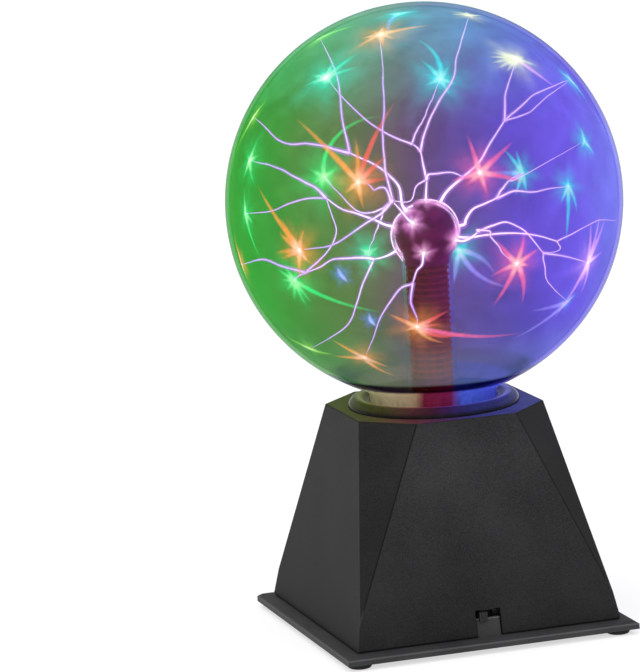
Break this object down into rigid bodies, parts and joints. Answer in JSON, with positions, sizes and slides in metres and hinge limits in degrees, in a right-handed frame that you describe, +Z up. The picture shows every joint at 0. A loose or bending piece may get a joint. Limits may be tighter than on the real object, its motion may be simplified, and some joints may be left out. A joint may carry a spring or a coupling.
{
  "type": "plasma ball lamp",
  "caption": "Glass plasma globe with a ball electrode on a stem, standing in a collar on a black faceted base with a slide switch at the front and a power inlet at the back.",
  "frame": {"origin": "on the table under the globe's axis: the centre of the object's box at the bottom of the feet", "axes": "+Z up along the globe's axis, -Y out of the base's front with the switch, +X to the right as seen from the front"},
  "size_m": [0.2, 0.2, 0.3166],
  "materials": {
    "shell_plastic": "fine-grained moulded black",
    "plate_plastic": "smooth satin black",
    "foot_rubber": "matt black rubber",
    "screw_steel": "zinc plated",
    "collar_plastic": "glossy black",
    "seal_silicone": "milky silicone",
    "retainer_plastic": "dark grey moulding",
    "cushion_foam": "soft foam",
    "globe_glass": "clear blown glass round glowing gas",
    "stem_glass": "clear drawn glass",
    "electrode_wool": "fine metal wool, dark magenta",
    "sleeve_phenolic": "dark brown ribbed phenolic",
    "contact_brass": "plain drawn brass",
    "bung_silicone": "red-brown silicone",
    "lead_insulation": "red silicone insulation",
    "board_laminate": "green solder resist",
    "ferrite": "ground sintered ferrite",
    "winding_epoxy": "potted black epoxy",
    "copper_wire": "enamelled copper wire",
    "sink_aluminium": "extruded",
    "package_epoxy": "moulded epoxy",
    "capacitor_sleeve": "shrink sleeve on aluminium",
    "capacitor_film": "dipped film capacitor",
    "resistor_lacquer": "lacquered ceramic body",
    "tinned_steel": "tinned sheet",
    "jack_plastic": "moulded black",
    "switch_board": "brown hard paper",
    "knob_plastic": "satin dark grey"
  },
  "bodies": {
    "base": {"base_shell": "shell_plastic", "bottom_plate": "plate_plastic", "foot_front_left": "foot_rubber", "foot_front_right": "foot_rubber", "foot_rear_right": "foot_rubber", "foot_rear_left": "foot_rubber", "bottom_screws": "screw_steel", "collar_ring": "collar_plastic", "neck_seal": "seal_silicone", "globe_retainer": "retainer_plastic", "neck_cushion": "cushion_foam", "retainer_screws": "screw_steel", "globe_glass": "globe_glass", "stem_glass": "stem_glass", "electrode_wool": "electrode_wool", "stem_sleeve": "sleeve_phenolic", "contact_rod": "contact_brass", "stem_bung": "bung_silicone", "high_voltage_lead": "lead_insulation", "driver_board": "board_laminate", "board_screws": "screw_steel", "ferrite_core": "ferrite", "high_voltage_winding": "winding_epoxy", "primary_winding": "copper_wire", "heat_sink": "sink_aluminium", "power_transistor": "package_epoxy", "transistor_screw": "screw_steel", "filter_capacitors": "capacitor_sleeve", "film_capacitor": "capacitor_film", "timer_chip": "package_epoxy", "resistors": "resistor_lacquer", "microphone": "tinned_steel", "power_jack": "jack_plastic", "power_jack_pin": "tinned_steel", "switch_can": "tinned_steel", "switch_base": "switch_board", "switch_screws": "screw_steel", "switch_leads": "lead_insulation"},
    "switch_slider": {"switch_knob": "knob_plastic"}
  },
  "joints": [
    {"name": "mode_switch_slide", "type": "slide", "parent": "base", "child": "switch_slider", "axis": [1, 0, 0], "range_m": [0, 0.0054]}
  ]
}
